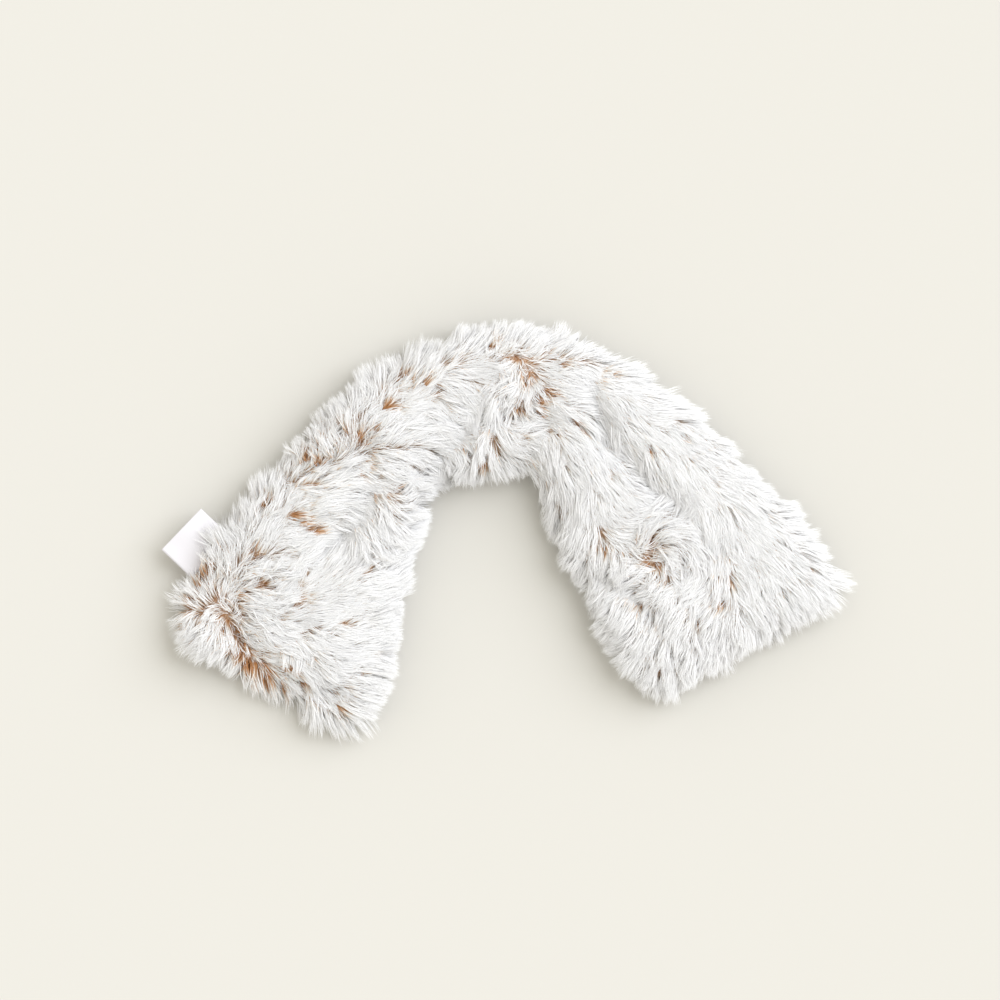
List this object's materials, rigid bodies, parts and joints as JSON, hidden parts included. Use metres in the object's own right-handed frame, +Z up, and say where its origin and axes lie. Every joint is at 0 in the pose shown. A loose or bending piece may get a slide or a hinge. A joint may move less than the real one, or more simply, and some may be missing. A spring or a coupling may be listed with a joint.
{
  "type": "microwavable neck wrap",
  "caption": "Grain-filled neck wrap of long white plush with tan roots, lying in an arch with splayed flat ends and a plain folded satin label in its side seam.",
  "frame": {"origin": "on the table, on the flat underside, under the middle of the wrap's length where it lies on the nape", "axes": "+X towards the right end as laid out, along the arch's width; +Y away from the wearer, out over the crown of the arch; +Z up from the table"},
  "size_m": [0.4993, 0.3052, 0.0485],
  "materials": {
    "white_plush": "long pile, white tips over tan roots",
    "cream_plush": "long pile, pressed flat by the table",
    "wheat_grain": "loose grain, closed in by the panels",
    "white_satin": "woven satin ribbon, bare"
  },
  "bodies": {
    "root": {"upper_plush_panel": "white_plush", "lower_plush_panel": "cream_plush", "grain_filling": "wheat_grain", "sewn_label": "white_satin"}
  },
  "joints": []
}
